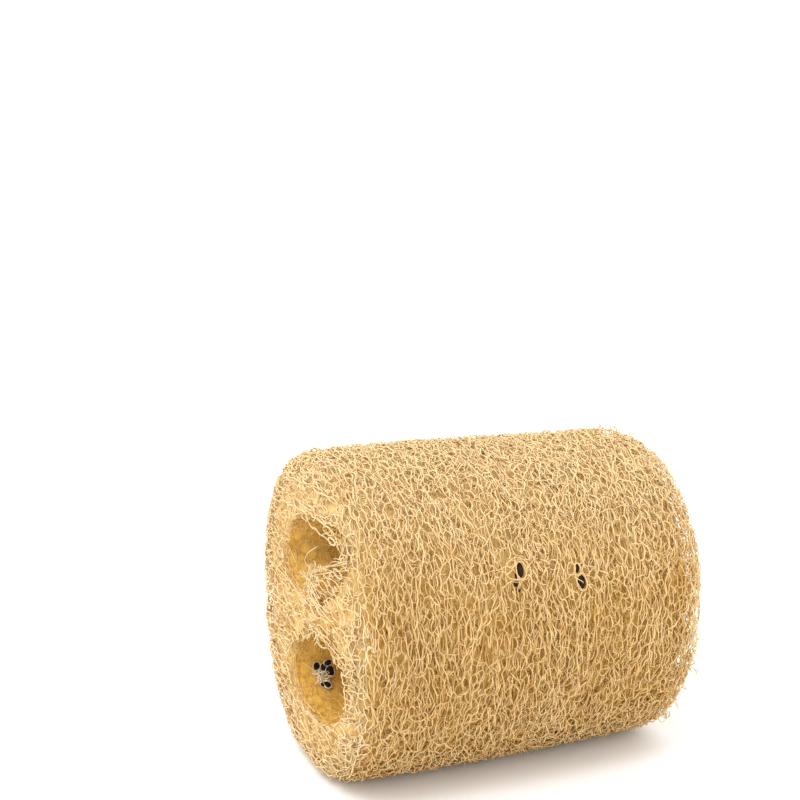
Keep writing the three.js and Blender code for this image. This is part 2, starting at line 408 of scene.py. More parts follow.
def smooth_line(points, step):
    """A smooth line through the points, in steps of about one length."""
    padded = np.concatenate([[2 * points[0] - points[1]], points, [2 * points[-1] - points[-2]]])
    spans = np.linalg.norm(np.diff(points, axis=0), axis=1)
    counts = np.maximum(1, np.round(spans / step)).astype(int)
    which = np.repeat(np.arange(len(spans)), counts)
    first = np.repeat(np.cumsum(counts) - counts, counts)
    t = ((np.arange(len(which)) - first) / counts[which])[:, None]
    p0, p1, p2, p3 = (padded[which + i] for i in range(4))
    curve = 0.5 * (
        2 * p1 + (p2 - p0) * t + (2 * p0 - 5 * p1 + 4 * p2 - p3) * t**2 + (3 * p1 - p0 - 3 * p2 + p3) * t**3
    )
    return np.concatenate([curve, points[-1:]])


# Every fibre has a three-sided section, and stands off the solid's box by no more than the fuzz.
bpy.ops.curve.primitive_bezier_circle_add(radius=1)
round_fibre = bpy.context.active_object
round_fibre.name = "fibre section"
round_fibre.data.splines.clear()
section = round_fibre.data.splines.new("POLY")
section.points.add(2)
section.use_cyclic_u = True
for i, corner in enumerate(section.points):
    turn = -2 * math.pi * i / 3
    corner.co = (math.cos(turn), math.sin(turn), 0, 1)

FUZZ = 2.3 * MM
furthest_low = np.array([cad_low[0] - FUZZ, cad_low[1] - FUZZ, 0])
furthest_high = np.array(cad_high) + FUZZ


def select_only(thing):
    bpy.ops.object.select_all(action="DESELECT")
    thing.select_set(True)
    bpy.context.view_layer.objects.active = thing


def fibre_piece(name, lines, radii, material):
    """A piece of fibres: a curve with one line for each, given its thickness and made a mesh. Where
    it meets the table it is pressed flat, and no fibre stands off further than the fuzz does."""
    curve = bpy.data.curves.new(name, "CURVE")
    curve.dimensions = "3D"
    curve.bevel_mode = "OBJECT"
    curve.bevel_object = round_fibre
    curve.use_fill_caps = True
    for points, radius in zip(lines, radii):
        fibre = curve.splines.new("POLY")
        fibre.points.add(len(points) - 1)
        fibre.points.foreach_set("co", np.column_stack([points, np.ones(len(points))]).ravel())
        fibre.points.foreach_set("radius", np.broadcast_to(radius, len(points)).copy())
    piece = bpy.data.objects.new(name, curve)
    bpy.context.scene.collection.objects.link(piece)
    select_only(piece)
    bpy.ops.object.convert(target="MESH")
    piece = bpy.context.view_layer.objects.active
    corners = np.empty(3 * len(piece.data.vertices))
    piece.data.vertices.foreach_get("co", corners)
    corners = np.clip(corners.reshape(-1, 3), furthest_low, furthest_high)
    piece.data.vertices.foreach_set("co", corners.ravel())
    bpy.ops.object.shade_smooth()
    piece.data.materials.clear()
    piece.data.materials.append(material)
    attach(piece, "root")
    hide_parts("sponge")


# The finish of the fibres: dry and matt, pale straw, with yellower and browner patches and a few small
# orange stains left by the gourd's flesh. Towards the top it is painted paler, as painted light from above.
TOP_LIGHT_FROM, TOP_LIGHT_TO = 50 * MM, 84 * MM
TOP_LIT_COLOUR = (0.86, 0.68, 0.40)


def wire(node, inputs):
    """A shader node, its inputs given values or linked to the outputs of other nodes."""
    for name, value in inputs.items():
        if isinstance(value, bpy.types.NodeSocket):
            node.id_data.links.new(value, node.inputs[name])
        else:
            node.inputs[name].default_value = value
    return node


def object_place(tree):
    return tree.nodes.new("ShaderNodeTexCoord").outputs["Object"]


def ramp_colour(tree, share, first, second):
    """The colour at a share, between two stops that are given as a share and a colour."""
    ramp = wire(tree.nodes.new("ShaderNodeValToRGB"), {"Fac": share})
    for stop, (position, colour) in zip(ramp.color_ramp.elements, (first, second)):
        stop.position = position
        stop.color = (*colour, 1)
    return ramp.outputs["Color"]


def mixed_colour(tree, share, first, second):
    mix = tree.nodes.new("ShaderNodeMix")
    mix.data_type = "RGBA"
    return wire(mix, {0: share, 6: first, 7: (*second, 1)}).outputs[2]


def top_lit_colour(tree, place, colour, share):
    """The colour, painted paler towards the top of the sponge: painted light, where the light from above
    falls.
    """
    height = wire(tree.nodes.new("ShaderNodeSeparateXYZ"), {0: place}).outputs["Z"]
    edges = {"From Min": TOP_LIGHT_FROM, "From Max": TOP_LIGHT_TO, "To Max": share}
    bleach = wire(tree.nodes.new("ShaderNodeMapRange"), {"Value": height, **edges})
    return mixed_colour(tree, bleach.outputs["Result"], colour, TOP_LIT_COLOUR)


def fibre_finish(name, pale, deep, stain, rough, bleached=0.0):
    """Fibre with paler and deeper patches and streaks, here and there a stain, and painted light that makes
    it paler towards the top.
    """
    finish, tree, shader = matt_finish(name, rough, 0.12)
    place = object_place(tree)

    def noise(scale, detail):
        texture = tree.nodes.new("ShaderNodeTexNoise")
        return wire(texture, {"Scale": scale, "Detail": detail, "Vector": place}).outputs["Fac"]

    both = tree.nodes.new("ShaderNodeMath")
    both.operation = "MULTIPLY_ADD"
    wire(both, {0: noise(70, 3), 1: 0.7, 2: noise(800, 2)})
    colour = ramp_colour(tree, both.outputs["Value"], (0.6, deep), (1.0, pale))
    edges = {"From Min": 0.64, "From Max": 0.74, "To Max": 0.8}
    strength = wire(tree.nodes.new("ShaderNodeMapRange"), {"Value": noise(260, 1), **edges})
    stained = mixed_colour(tree, strength.outputs["Result"], colour, stain)
    wire(shader, {"Base Color": top_lit_colour(tree, place, stained, bleached)})
    return finish


# Painted shade of depth: the second net is painted a little darker and more golden than the outer one, and
# the third net darker again.
pale_fibre = fibre_finish(
    "pale straw fibre", (0.77, 0.54, 0.26), (0.71, 0.46, 0.18), (0.62, 0.32, 0.10), 0.7, 0.65
)
# Painted light: the fibres at the cut ends, at the mouths and on the torn wall are painted paler than those
# of the side, as where the light falls on the ends.
rim_fibre = fibre_finish("bleached fibre", (0.84, 0.66, 0.39), (0.80, 0.57, 0.27), (0.74, 0.50, 0.20), 0.7)
golden_fibre = fibre_finish(
    "golden fibre", (0.76, 0.52, 0.20), (0.71, 0.45, 0.14), (0.60, 0.27, 0.06), 0.7, 0.8
)
deep_fibre = fibre_finish(
    "deep golden fibre", (0.74, 0.49, 0.16), (0.69, 0.42, 0.11), (0.56, 0.24, 0.05), 0.75, 0.75
)

# The deep fibre mass between the nets and the chambers: a spongy body of fibres, too deep and dense
# to tell apart, that closes the view through the sponge. The chambers' walls are its smooth skin, of
# flat golden-brown fibres pressed together where the seeds lay.
CORE_DEPTH = 3.4 * MM
CORE_END_DEPTH = 1.6 * MM
CORE_WALL = 0.35 * MM
CORE_FAR_END_LOSS = 3.5 * MM
CORE_FAR_END_REACH = 12 * MM
CORE_FAR_END_NARROWS = 0.03
CORE_END_RAMP = 13 * MM
CORE_CLEAR_OF_TABLE = 1.0 * MM
CORE_RIPPLE = 0.3 * MM
WALL_RIPPLE = 0.08 * MM
RIPPLE_LENGTH = 0.9 * MM
RIPPLE_WAVES = 9
ROUND_STRETCH = 1.9


def closed_mesh(name, points, faces):
    """An object with a closed mesh whose faces are all turned outwards. It is left selected."""
    mesh = bpy.data.meshes.new(name)
    mesh.from_pydata([tuple(p) for p in points], [], faces)
    made = bpy.data.objects.new(name, mesh)
    bpy.context.scene.collection.objects.link(made)
    select_only(made)
    bpy.ops.object.mode_set(mode="EDIT")
    bpy.ops.mesh.select_all(action="SELECT")
    bpy.ops.mesh.normals_make_consistent(inside=False)
    bpy.ops.object.mode_set(mode="OBJECT")
    return made


def closed_form_mesh(name, form, depth, end_depth, rings, sides, ripple):
    """A closed mesh that follows a form at a depth, its surface rippled."""
    latitude = np.linspace(form.latitude[0], form.latitude[-1], rings)
    angle = np.arange(sides) * 2 * np.pi / sides
    a, q = np.meshgrid(angle, latitude)
    x, _ = form.along(q.ravel())
    on_end = np.clip((np.abs(x) - half_length + CORE_END_RAMP) / CORE_END_RAMP, 0, 1)
    points, normal = form.place(toward(a.ravel(), q.ravel()), depth + (end_depth - depth) * on_end)
    rng = np.random.default_rng(70)
    wave = np.zeros(len(points))
    for _ in range(RIPPLE_WAVES):
        turn = rng.normal(size=3) / RIPPLE_LENGTH
        wave += np.sin(points @ turn + rng.random() * 6.28)
    points = points - normal * (ripple * wave / 4)[:, None]
    points[:, 2] = np.maximum(points[:, 2], CORE_CLEAR_OF_TABLE)
    faces = []
    for r in range(rings - 1):
        for s in range(sides):
            t = (s + 1) % sides
            faces.append((r * sides + s, (r + 1) * sides + s, (r + 1) * sides + t, r * sides + t))
    faces.append(tuple(range(sides)))
    faces.append(tuple(reversed(range((rings - 1) * sides, rings * sides))))
    return closed_mesh(name, points, faces)


def deep_mass_finish(name, ridge, hollow, scale, ridge_width):
    """Ridges of fibre round small hollows, the hollows painted darker as painted shade."""
    finish, tree, shader = matt_finish(name, 0.8, 0.2)
    place = object_place(tree)
    cells = tree.nodes.new("ShaderNodeTexVoronoi")
    cells.feature = "DISTANCE_TO_EDGE"
    distance = wire(cells, {"Scale": scale, "Vector": place}).outputs["Distance"]
    colour = ramp_colour(tree, distance, (0.0, ridge), (ridge_width, hollow))
    bump = tree.nodes.new("ShaderNodeBump")
    bump.invert = True
    wire(bump, {"Strength": 0.5, "Distance": 0.0003, "Height": distance})
    # Painted light: the colour is painted paler towards the top.
    with_top_light = top_lit_colour(tree, place, colour, 0.45)
    wire(shader, {"Base Color": with_top_light, "Normal": bump.outputs["Normal"]})
    return finish


gourd = Form(gourd_line(), mean_radius, ROUND_STRETCH, gourd_point)
gourd_evenly = Form(gourd_line(), mean_radius, 1.0, gourd_point)
core = closed_form_mesh("deep_fibre_mass", gourd_evenly, CORE_DEPTH, CORE_END_DEPTH, 100, 120, CORE_RIPPLE)
# Painted shade of depth: the mass is painted darker and more golden than the nets over it.
for look in (
    ("deep fibre mass", (0.74, 0.50, 0.16), (0.64, 0.39, 0.085), 620, 0.22),
    # Painted light: the end look is paler, for the cut ends where the light falls.
    ("end fibre mass", (0.80, 0.56, 0.22), (0.70, 0.45, 0.13), 800, 0.3),
):
    core.data.materials.append(deep_mass_finish(*look))

# The pressed fibres of the walls lie side by side, as fine streaks round the chambers.
wall_finish = fibre_finish("chamber wall", (0.75, 0.47, 0.11), (0.63, 0.35, 0.05), (0.56, 0.27, 0.04), 0.6)
wall_nodes = wall_finish.node_tree.nodes
squeezed = {"Vector": object_place(wall_finish.node_tree), "Scale": (2600, 500, 500)}
squeezed = wire(wall_nodes.new("ShaderNodeMapping"), squeezed).outputs["Vector"]
streaks = wire(wall_nodes.new("ShaderNodeTexNoise"), {"Scale": 1, "Detail": 3, "Vector": squeezed})
relief = {"Strength": 0.7, "Distance": 0.3 * MM, "Height": streaks.outputs["Fac"]}
relief = wire(wall_nodes.new("ShaderNodeBump"), relief).outputs["Normal"]
wire(wall_nodes["Principled BSDF"], {"Normal": relief})
for corner in core.data.vertices:
    past = max(0, (corner.co.x - half_length + CORE_FAR_END_REACH) / CORE_FAR_END_REACH)
    corner.co.x -= CORE_FAR_END_LOSS * past**2
    corner.co.y -= (corner.co.y - middle_y) * CORE_FAR_END_NARROWS * past**2
    corner.co.z -= (corner.co.z - middle_z) * CORE_FAR_END_NARROWS * past**2
# Painted light: the mass's faces near the cut ends take its paler end colour.
for face in core.data.polygons:
    face.material_index = 1 if abs(face.center.x) > half_length - 4.5 * MM else 0


def chamber_line():
    reach = half_length + CHAMBER_OVERRUN
    line = [(-reach, i / 4) for i in range(1, 4)]
    line += [(-reach + 2 * reach * i / 40, 1) for i in range(41)]
    line += [(reach, i / 4) for i in range(3, 0, -1)]
    return np.array(line)


def chamber_form(chamber, stretch):
    return Form(
        chamber_line(),
        (chamber["wide"] + chamber["high"]) / 2 * MM,
        stretch,
        lambda angle, x, share: chamber_point(chamber, angle, x, share),
    )


for chamber in CHAMBERS:
    tube = chamber_form(chamber, 1.0)
    cutter = closed_form_mesh("cutter", tube, -CORE_WALL, -CORE_WALL, 110, 90, WALL_RIPPLE)
    cutter.data.materials.append(wall_finish)
    select_only(core)
    cut = core.modifiers.new("chamber", "BOOLEAN")
    cut.operation = "DIFFERENCE"
    cut.solver = "EXACT"
    cut.material_mode = "TRANSFER"
    cut.object = cutter
    bpy.ops.object.modifier_apply(modifier=cut.name)
    bpy.data.objects.remove(cutter)
bpy.ops.object.shade_smooth()
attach(core, "root")
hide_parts("sponge")

# The places where the outer nets are open: the mouths of the chambers, the eyelets that the seeds
# left in the side, and some round meshes in the near cut face.
EYELETS = [
    dict(x=-5.2, z=59.9, wide=3.1, tall=3.2),
    dict(x=11.6, z=56.0, wide=2.5, tall=3.6),
]
# The torn wall between the two mouths, as (y, z) in mm along its lower and its upper edge.
WALL_LOWER_EDGE = [(-36, 40.8), (-23, 38.8), (-20, 42), (-15.5, 43.4), (-5, 38), (7, 32)]
WALL_UPPER_EDGE = [(-31, 64.5), (-17.6, 59.6), (-9, 56.5), (-5, 50.5), (6, 46.9), (14, 45.8)]
# The widest round meshes of that face, as (y, z, half width, half height) in mm.
ROUND_MESHES = [
    (-4.6, 69.9, 2.6, 0.9), (-17.8, 75.3, 2.2, 0.8), (-21.6, 70.8, 2.9, 0.9), (-28.1, 61.8, 2.7, 0.9),
    (-17.9, 55.5, 3.2, 1.1), (-25.3, 53.1, 3.5, 1.3), (-20.5, 51.5, 2.3, 0.8), (19.3, 41.7, 2.5, 0.8),
    (8.3, 44.2, 2.8, 0.9), (6.8, 37.7, 3.9, 1.4), (-32.5, 52.0, 1.3, 1.4), (-16.6, 40.6, 3.6, 1.3),
    (-27.5, 43.0, 3.2, 1.1), (18.4, 27.0, 3.2, 1.1), (13.0, 60.0, 3.0, 0.9), (-29.0, 22.0, 3.2, 1.0),
]


def side_spot(x, z):
    """The place on the gourd's side towards -Y at an x and a height, its way out and its way up."""
    angle = np.linspace(math.pi / 2, 3 * math.pi / 2, 2000)
    places = gourd_point(angle, x * MM, 1.0)
    best = np.abs(places[:, 2] - z * MM).argmin()
    up = unit(places[best - 4] - places[best + 4])
    out = np.cross(up, (1.0, 0, 0))
    return places[best], out * -np.sign(out[1]), up


for eyelet in EYELETS:
    eyelet["spot"], eyelet["out"], eyelet["up"] = side_spot(eyelet["x"], eyelet["z"])


def on_torn_wall(y, z):
    low_y, low_z = np.array(WALL_LOWER_EDGE).T * MM
    top_y, top_z = np.array(WALL_UPPER_EDGE).T * MM
    between = (z > np.interp(y, low_y, low_z)) & (z < np.interp(y, top_y, top_z))
    return between & (y > -33 * MM) & (y < 8 * MM)


def in_opening(points):
    """True where a fibre of the outer nets would cross an eyelet or a round mesh."""
    inside = np.zeros(len(points), bool)
    for eyelet in EYELETS:
        from_spot = points - eyelet["spot"]
        across = from_spot[:, 0] / (eyelet["wide"] * MM)
        along = from_spot @ eyelet["up"] / (eyelet["tall"] * MM)
        inside |= (across**2 + along**2 < 1) & (np.abs(from_spot @ eyelet["out"]) < 6 * MM)
    for y, z, wide, tall in ROUND_MESHES:
        across = (points[:, 1] - y * MM) / (wide * MM)
        along = (points[:, 2] - z * MM) / (tall * MM)
        inside |= (across**2 + along**2 < 1) & (points[:, 0] < -half_length + 5 * MM)
    return inside


# The outer nets: nets of tough fibres lie over each other under the skin that was peeled off, and
# close over the cut ends. The fibres run round the gourd, part, and join again.
LIP = 0.5 * MM
THREAD_BOW = 0.19
BOW_LIMIT = 0.6 * MM
LONGEST_THREAD = 4.5 * MM
NEAR_FACE_SHARE = 0.83
MOUTH_SNAP = 2.0 * MM


def crowd_ends(x, share):
    on_end = np.clip((np.abs(x) - half_length + 6 * MM) / (6 * MM), 0, 1)
    return np.where((x < 0) & (share < NEAR_FACE_SHARE - 0.1), 0.5, 1 + 0.7 * on_end)


def face_share(y, z):
    """How far places on the near cut face are from its middle: 0 there, 1 at the gourd's skin."""
    across, along = (y - middle_y) / half_width, (z - middle_z) / half_height
    power = SQUARENESS / 2
    angle = np.arctan2(np.sign(along) * np.abs(along) ** power, np.sign(across) * np.abs(across) ** power)
    edge_y, edge_z = lumpy(angle, np.full(len(angle), -half_length), 1.0)
    return np.hypot(across, along) / np.hypot(edge_y, edge_z)


def on_near_face(points):
    return (points[:, 0] < -half_length + 6 * MM) & (face_share(points[:, 1], points[:, 2]) < NEAR_FACE_SHARE)


def inside_mouths(points):
    """How far points near the ends are inside a mouth's edge, and each one's nearest place on it."""
    on_end = np.abs(points[:, 0]) > half_length - 7 * MM
    deepest = np.full(len(points), -1.0)
    edge = points.copy()
    for chamber in CHAMBERS:
        share = chamber_share(chamber, points)
        inside = (1 - share) * math.sqrt(chamber["wide"] * chamber["high"]) * MM
        middle = np.stack(chamber_middle(chamber, points[:, 0]), axis=-1)
        nearest = middle + (points[:, 1:] - middle) / share[:, None]
        mine = on_end & (inside > deepest)
        deepest[mine] = inside[mine]
        edge[mine, 1:] = nearest[mine]
    return deepest, edge


def net_on_gourd(meshes, seed, depth, weave, missing):
    """Knots of one outer net as points, its threads, and the draw of random numbers."""
    rng = np.random.default_rng(seed)
    knots, threads = grow_net(gourd, meshes, 4, crowd_ends, rng)
    points, _ = gourd.place(knots, depth + weave * rng.random(len(knots)))
    inside, edge = inside_mouths(points)
    drop = (inside > MOUTH_SNAP) | in_opening(points) | on_near_face(points)
    snap = (inside > 0) & (inside <= MOUTH_SNAP)
    points[snap] = edge[snap]
    lip = np.where(inside > -0.9, LIP * np.exp(-np.maximum(-inside, 0) / (1.8 * MM)), 0)
    points[:, 0] -= np.sign(points[:, 0]) * lip
    keep = ~drop[threads].any(1) & (rng.random(len(threads)) > missing)
    keep &= lengths(points, threads) < LONGEST_THREAD
    on_face = np.abs(points[:, 0]) > half_length - 3.5 * MM
    keep &= ~(on_face[threads].all(1) & (depth > CORE_END_DEPTH))
    return points, threads[keep], rng


def uneven(radius, count, tip, rng):
    """Radii along a fibre, with thinner ends."""
    thick = radius * (0.8 + 0.4 * rng.random()) * (1 + 0.08 * rng.normal(size=count))
    thick[[0, -1]] *= tip
    return thick


def fibres_of(points, threads, step, radius, rng):
    """The lines and radii of a net's fibres, each thread bowed a little to one side."""
    lines, radii = [], []
    for chain, (last_joins, first_joins) in trace_fibres(points, threads):
        path = points[chain]
        spans = np.diff(path, axis=0)
        side = unit_rows(np.cross(spans, rng.normal(size=spans.shape)), 1e-12)
        bow = THREAD_BOW * np.linalg.norm(spans, axis=1, keepdims=True) * rng.normal(size=(len(spans), 1))
        bowed = np.empty((2 * len(path) - 1, 3))
        bowed[::2] = path
        bowed[1::2] = (path[1:] + path[:-1]) / 2 + side * np.clip(bow, -BOW_LIMIT, BOW_LIMIT)
        path = bowed
        if first_joins is not None:
            path = np.concatenate([path, [path[-1] * 0.6 + points[first_joins] * 0.4]])
        if last_joins is not None:
            path = np.concatenate([[path[0] * 0.6 + points[last_joins] * 0.4], path])
        line = smooth_line(path, step)
        line[:, 2] = np.maximum(line[:, 2], radius)
        lines.append(line)
        radii.append(uneven(radius, len(line), 0.7, rng))
    return lines, radii


WANDER_REACH = 30 * MM
WANDER_WAVE = 0.8 * MM
HEADING_SPREAD = 0.42
HEADING_SWAY = 0.17
GOLDEN_TURN = 0.618034


def wandering_fibres(count, step, depth, weave, radius, seed):
    """Long fibres that wander round the gourd over the meshes of a net, and cross each other."""
    rng = np.random.default_rng(seed)
    steps = int(WANDER_REACH / step)
    area = np.concatenate([[0], np.cumsum(gourd_evenly.step * gourd_evenly.share)])
    even = (np.arange(count) + rng.random(count)) / count * area[-1]
    latitude = np.interp(even, area, gourd_evenly.latitude)
    angle = 2 * np.pi * ((np.arange(count) * GOLDEN_TURN) % 1)
    heading = rng.normal(size=count) * HEADING_SPREAD + np.where(rng.random(count) < 0.5, math.pi, 0)
    lean = heading.copy()
    phase = rng.random(count) * 6.28
    angles, latitudes, depths = [], [], []
    for n in range(steps):
        angles.append(angle.copy())
        latitudes.append(latitude.copy())
        depths.append(depth + weave * (0.5 + 0.5 * np.sin(phase + n * step / WANDER_WAVE)))
        scale = np.maximum(gourd_evenly.along(latitude)[1] * mean_radius, 5 * MM)
        angle = angle + np.cos(heading) * step / scale
        latitude = latitude + np.sin(heading) * step / scale
        heading = heading + (lean - heading) * 0.15 + rng.normal(size=count) * HEADING_SWAY
    direction = toward(np.stack(angles, 1).ravel(), np.stack(latitudes, 1).ravel())
    points, _ = gourd_evenly.place(direction, np.stack(depths, 1).ravel())
    inside, _ = inside_mouths(points)
    out = ((inside > -0.4 * MM) & (inside > -0.9)) | in_opening(points) | on_near_face(points)
    out |= np.abs(np.stack(latitudes, 1).ravel()) > gourd_evenly.latitude[-1] - 0.4
    points = points.reshape(count, steps, 3)
    out = out.reshape(count, steps)
    lines, radii = [], []
    for path, lost in zip(points, out):
        path = path[: rng.integers(steps // 2, steps)]
        stops = np.flatnonzero(lost[: len(path)])
        if len(stops):
            path = path[: stops[0]]
        if len(path) < 5:
            continue
        path[:, 2] = np.maximum(path[:, 2], radius)
        lines.append(path)
        radii.append(uneven(radius, len(path), 0.5, rng))
    return lines, radii


def quarter(line):
    middle = line[len(line) // 2]
    if middle[0] < -half_length + 5 * MM:
        return "near_end"
    if middle[0] > half_length - 5 * MM:
        return "far_end"
    return "upper" if middle[2] > middle_z else "lower"


HANGS_OUT = 0.6 * MM


def clear_of_far_mouths(lines, radii):
    """The fibres without the stretches that would cross the open mouths at the far end."""
    kept, kept_radii = [], []
    for line, thick in zip(lines, radii):
        in_the_open = (inside_mouths(line)[0] > HANGS_OUT) & (line[:, 0] > 0)
        for run in np.split(np.arange(len(line)), np.flatnonzero(in_the_open)):
            run = run[~in_the_open[run]]
            if len(run) > 2:
                kept.append(line[run])
                kept_radii.append(thick[run])
    return kept, kept_radii


def split_piece(name, lines, radii, side_finish, end_finish):
    lines, radii = clear_of_far_mouths(lines, radii)
    for part in ("near_end", "far_end", "upper", "lower"):
        mine = [i for i, line in enumerate(lines) if quarter(line) == part]
        finish = end_finish if part.endswith("end") else side_finish
        fibre_piece(f"{name}_{part}", [lines[i] for i in mine], [radii[i] for i in mine], finish)


def both_kinds(net, wandering):
    return net[0] + wandering[0], net[1] + wandering[1]


points, threads, rng = net_on_gourd(5450, seed=11, depth=-0.35 * MM, weave=1.1 * MM, missing=0.06)
net = fibres_of(points, threads, 0.95 * MM, 0.175 * MM, rng)
wandering = wandering_fibres(750, 1.0 * MM, depth=-0.55 * MM, weave=1.4 * MM, radius=0.17 * MM, seed=21)
split_piece("outer_net", *both_kinds(net, wandering), pale_fibre, rim_fibre)

points, threads, rng = net_on_gourd(3750, seed=12, depth=0.8 * MM, weave=0.9 * MM, missing=0.05)
net = fibres_of(points, threads, 1.1 * MM, 0.2 * MM, rng)
wandering = wandering_fibres(340, 1.3 * MM, depth=0.9 * MM, weave=0.9 * MM, radius=0.2 * MM, seed=22)
split_piece("second_net", *both_kinds(net, wandering), golden_fibre, rim_fibre)

points, threads, rng = net_on_gourd(2800, seed=13, depth=2.0 * MM, weave=0.9 * MM, missing=0.04)
net = fibres_of(points, threads, 1.5 * MM, 0.25 * MM, rng)
split_piece("third_net", *net, deep_fibre, golden_fibre)

# The lining of the chambers: a fine flat net of thin fibres on the wall of each, and loose curled
# fibres that stand off it.
LINING_STRETCH = 1.5
LINING_MESHES = 760
LINING_WEAVE = 0.45 * MM
LINING_SHORT_OF_END = 0.8 * MM
LOOSE_CURLS = 230
CURL_JUMP = 1.2 * MM
lining_fibre = fibre_finish("lining fibre", (0.79, 0.55, 0.20), (0.71, 0.44, 0.11), (0.62, 0.33, 0.06), 0.7)


def crowd_near_mouth(x, share):
    return 1 + 7 * np.exp(-np.maximum(0, half_length + x) / (9 * MM))


def curl(start, way, length, bend, rng, step=0.5 * MM):
    """A loose fibre that curls as it goes."""
    way = unit(np.asarray(way))
    axis = unit(np.cross(way, rng.normal(size=3)))
    turn = bend * (0.4 + 1.2 * rng.random())
    line = [np.asarray(start)]
    for _ in range(max(3, int(length / step))):
        line.append(line[-1] + way * step)
        turn += bend * 0.5 * rng.normal()
        axis += rng.normal(size=3) * 0.25
        axis -= way * (axis @ way)
        axis = unit(axis)
        way = unit(way + np.cross(axis, way) * turn * step / MM)
    return np.array(line)


def thinning(line, radius):
    return radius * np.linspace(1.1, 0.6, len(line))


for number, chamber in enumerate(CHAMBERS):
    tube = chamber_form(chamber, LINING_STRETCH)
    rng = np.random.default_rng(40 + number)
    knots, threads = grow_net(tube, LINING_MESHES, 4, crowd_near_mouth, rng)
    points, _ = tube.place(knots, LINING_WEAVE * rng.random(len(knots)))
    reach = half_length - LINING_SHORT_OF_END
    outside = np.abs(points[:, 0]) > reach + 2.5 * MM
    over = (np.abs(points[:, 0]) > reach) & ~outside
    points[over, 0] = np.sign(points[over, 0]) * reach
    keep = ~outside[threads].any(1) & ~over[threads].all(1) & (lengths(points, threads) < 5 * MM)
    keep &= rng.random(len(threads)) > 0.05
    lines, radii = fibres_of(points, threads[keep], 1.3 * MM, 0.1 * MM, rng)
    fibre_piece(f"chamber_lining_{number + 1}", lines, radii, lining_fibre)

    lines = []
    for _ in range(LOOSE_CURLS):
        angle = rng.random() * 2 * math.pi
        x = rng.choice([-1, 1]) * (half_length - 1.5 * MM - abs(rng.normal()) * 12 * MM)
        start = chamber_spot(chamber, angle, x, 0.98)
        way = unit(chamber_spot(chamber, angle + 0.1, x, 0.98) - start)
        way = way * rng.choice([-1, 1]) + rng.normal(size=3) * (0.8, 0.25, 0.25)
        line = curl(start, way, (2.5 + 4 * rng.random()) * MM, 0.45, rng)
        share = chamber_share(chamber, line)
        stray = (share > 0.99) | (share < 0.8)
        middle = np.stack(chamber_middle(chamber, line[:, 0]), axis=-1)
        held = np.clip(share, 0.84, 0.985)
        line[stray, 1:] = (middle + (line[:, 1:] - middle) * (held / share)[:, None])[stray]
        if np.linalg.norm(np.diff(line, axis=0), axis=1).max() < CURL_JUMP:
            lines.append(line)
    radii = [thinning(line, 0.11 * MM) for line in lines]
    fibre_piece(f"loose_curls_{number + 1}", lines, radii, golden_fibre)

# The near cut face: the nets that the cut laid open lie in it as wide round meshes, two deep. Between
# the mouths the core was pulled out, and the torn wall's meshes hang over the upper mouth.
FACE = -half_length
FACE_STRETCH = 2.6
FACE_LONGEST_THREAD = 7.5 * MM
FACE_CURLS = 150


def face_net(spots_count, depth, weave, rng):
    """Knots and threads of a net of meshes that lie wide across the near face."""
    box = np.array([(low.y - 4 * MM, high.y + 4 * MM), (0, high.z)]) / ((FACE_STRETCH,), (1,))
    spots = np.zeros((spots_count, 2))
    for n in range(spots_count):
        tried = box[:, 0] + rng.random((10, 2)) * (box[:, 1] - box[:, 0])
        gap = ((tried[:, None] - spots[None, :n]) ** 2).sum(-1).min(1) if n else np.ones(10)
        spots[n] = tried[gap.argmax()]
    faces = np.array(delaunay_2d_cdt([tuple(p) for p in spots], [], [], 0, 1e-9)[2])
    knots = spots[faces].mean(1) * (FACE_STRETCH, 1)
    share = face_share(knots[:, 0], knots[:, 1])
    lean = np.clip(1 - (1 - share) * mean_radius / NEAR_END_ROUND, 0, 1)
    dip = NEAR_END_ROUND * (1 - np.sqrt(1 - lean**2))
    points = np.column_stack([FACE + dip + depth + weave * rng.random(len(knots)), knots])
    torn = on_torn_wall(points[:, 1], points[:, 2])
    inside, edge = inside_mouths(points)
    snap = (inside > 0) & (inside <= MOUTH_SNAP) & ~torn
    points[snap] = edge[snap]
    drop = ((inside > MOUTH_SNAP) & ~torn) | in_opening(points) | (share > NEAR_FACE_SHARE + 0.14)
    threads = threads_between(faces)
    keep = ~drop[threads].any(1) & (lengths(points, threads) < FACE_LONGEST_THREAD)
    keep &= rng.random(len(threads)) > 0.05
    return points, threads[keep]


def face_line(points, step=0.7 * MM):
    """A smooth fibre through places given in mm: how far in from the near face, y, and z."""
    line = np.array(points, float) * MM
    line[:, 0] += FACE
    return smooth_line(line, step)


def ring(middle, across, up, wide, tall, rng, turns=14):
    """A closed loop of fibre round a mesh."""
    turn = np.linspace(0, 2 * np.pi, turns + 1) + rng.random() * 6.28
    wobble = 1 + 0.1 * np.sin(2 * turn + rng.random() * 6) + 0.06 * np.sin(3 * turn + rng.random() * 6)
    wobble[-1] = wobble[0]
    a = (np.cos(turn) * wide * wobble)[:, None] * np.asarray(across)
    b = (np.sin(turn) * tall * wobble)[:, None] * np.asarray(up)
    return np.asarray(middle) + (a + b) * MM


